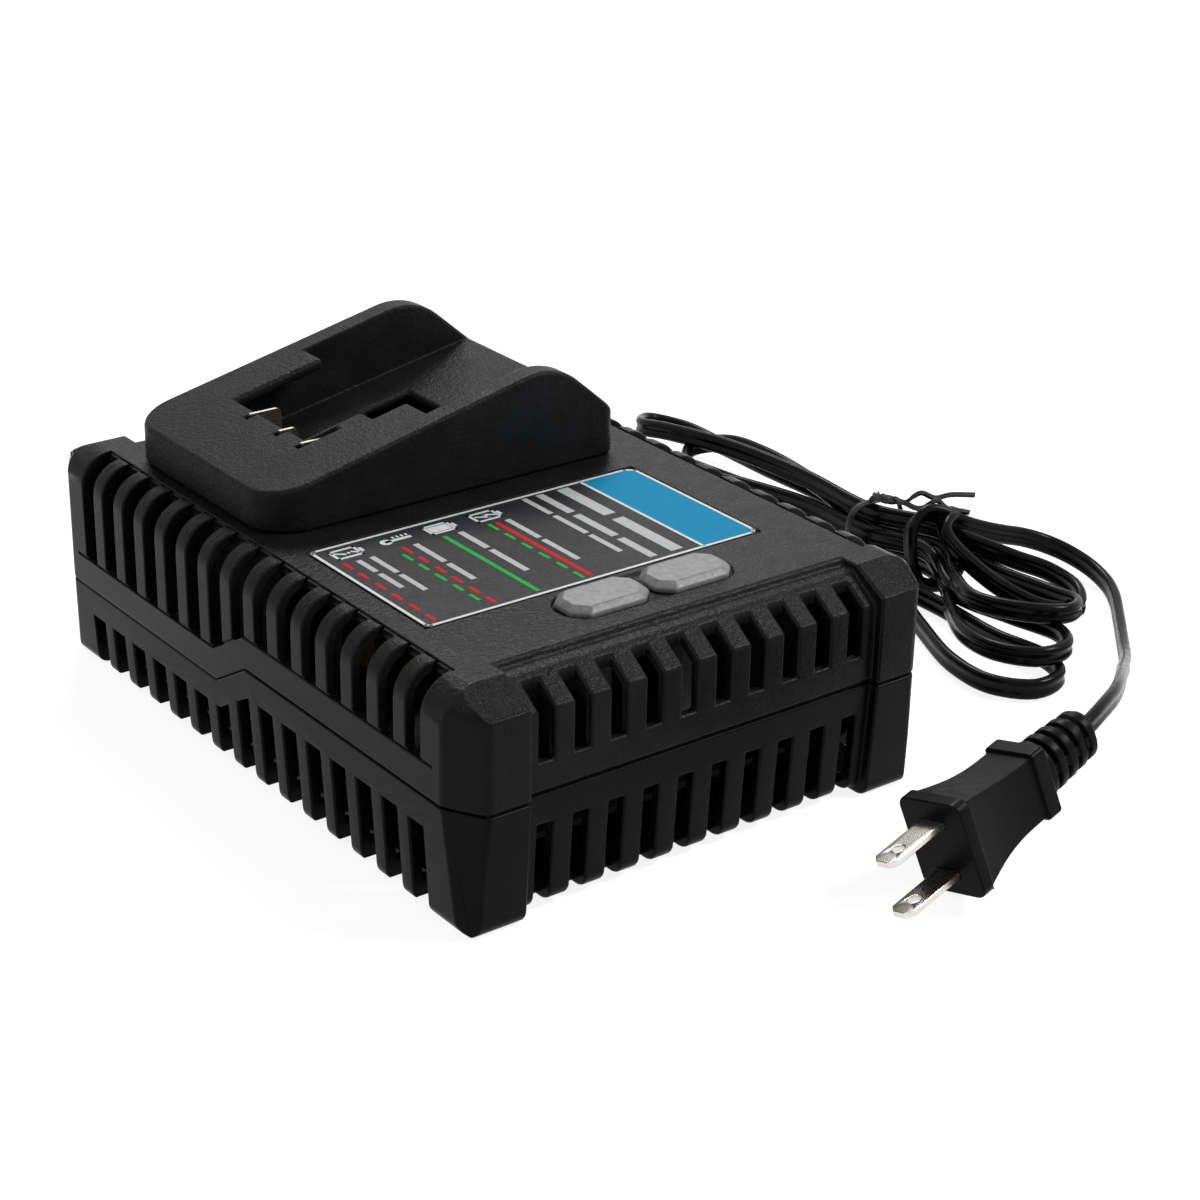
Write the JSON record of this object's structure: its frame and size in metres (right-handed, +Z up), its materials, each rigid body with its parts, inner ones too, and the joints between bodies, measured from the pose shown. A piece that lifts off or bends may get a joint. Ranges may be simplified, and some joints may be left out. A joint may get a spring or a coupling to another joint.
{
  "type": "power tool battery charger",
  "caption": "Mains charging station with a sloping slide-on battery dock, ribbed vented housing, indicator lenses and a tied flat cord with plug.",
  "frame": {"origin": "bottom centre of the housing, on the surface that its feet stand on", "axes": "+Z up, +X to the open end of the battery dock, -Y to the front with the indicator lenses"},
  "size_m": [0.2497, 0.282, 0.0824],
  "materials": {
    "housing_black": "fine-grained black moulding",
    "dock_black": "fine-grained black moulding",
    "carrier_black": "smooth black moulding",
    "contact_metal": "nickel-plated strip",
    "label_print": "printed dark grey film with a blue band",
    "lens_frosted": "frosted translucent lens",
    "led_red": "tinted epoxy",
    "led_green": "tinted epoxy",
    "board_green": "solder-masked laminate",
    "ferrite": "dark ferrite",
    "winding_tape": "yellow tape over copper",
    "cap_sleeve": "shrink sleeve over an aluminium can",
    "choke_copper": "enamelled copper over a ring core",
    "sink_metal": "plain extruded",
    "chip_black": "moulded epoxy",
    "fuse_glass": "clear tube with metal caps",
    "clip_metal": "plated spring strip",
    "inlet_green": "moulded terminal block",
    "screw_steel": "plated steel",
    "cord_pvc": "satin black PVC",
    "tie_wire": "plastic-covered wire",
    "plug_pvc": "satin black PVC",
    "blade_metal": "nickel-plated brass"
  },
  "bodies": {
    "charger": {"lower_housing": "housing_black", "upper_housing": "housing_black", "battery_dock": "dock_black", "terminal_carrier": "carrier_black", "front_contact": "contact_metal", "middle_contact": "contact_metal", "back_contact": "contact_metal", "label_plate": "label_print", "left_lens": "lens_frosted", "right_lens": "lens_frosted", "left_led": "led_red", "right_led": "led_green", "circuit_board": "board_green", "transformer_core": "ferrite", "transformer_winding": "winding_tape", "input_capacitor": "cap_sleeve", "output_capacitor_1": "cap_sleeve", "output_capacitor_2": "cap_sleeve", "choke": "choke_copper", "heat_sink": "sink_metal", "power_transistor": "chip_black", "bridge_rectifier": "chip_black", "fuse": "fuse_glass", "fuse_clips": "clip_metal", "inlet_block": "inlet_green", "board_screws": "screw_steel", "housing_screws": "screw_steel", "cord_gland": "plug_pvc", "power_cord": "cord_pvc", "cord_hank": "cord_pvc", "cord_tie": "tie_wire", "cord_lead": "cord_pvc", "plug_body": "plug_pvc", "plug_relief": "plug_pvc", "plug_blades": "blade_metal"}
  },
  "joints": []
}
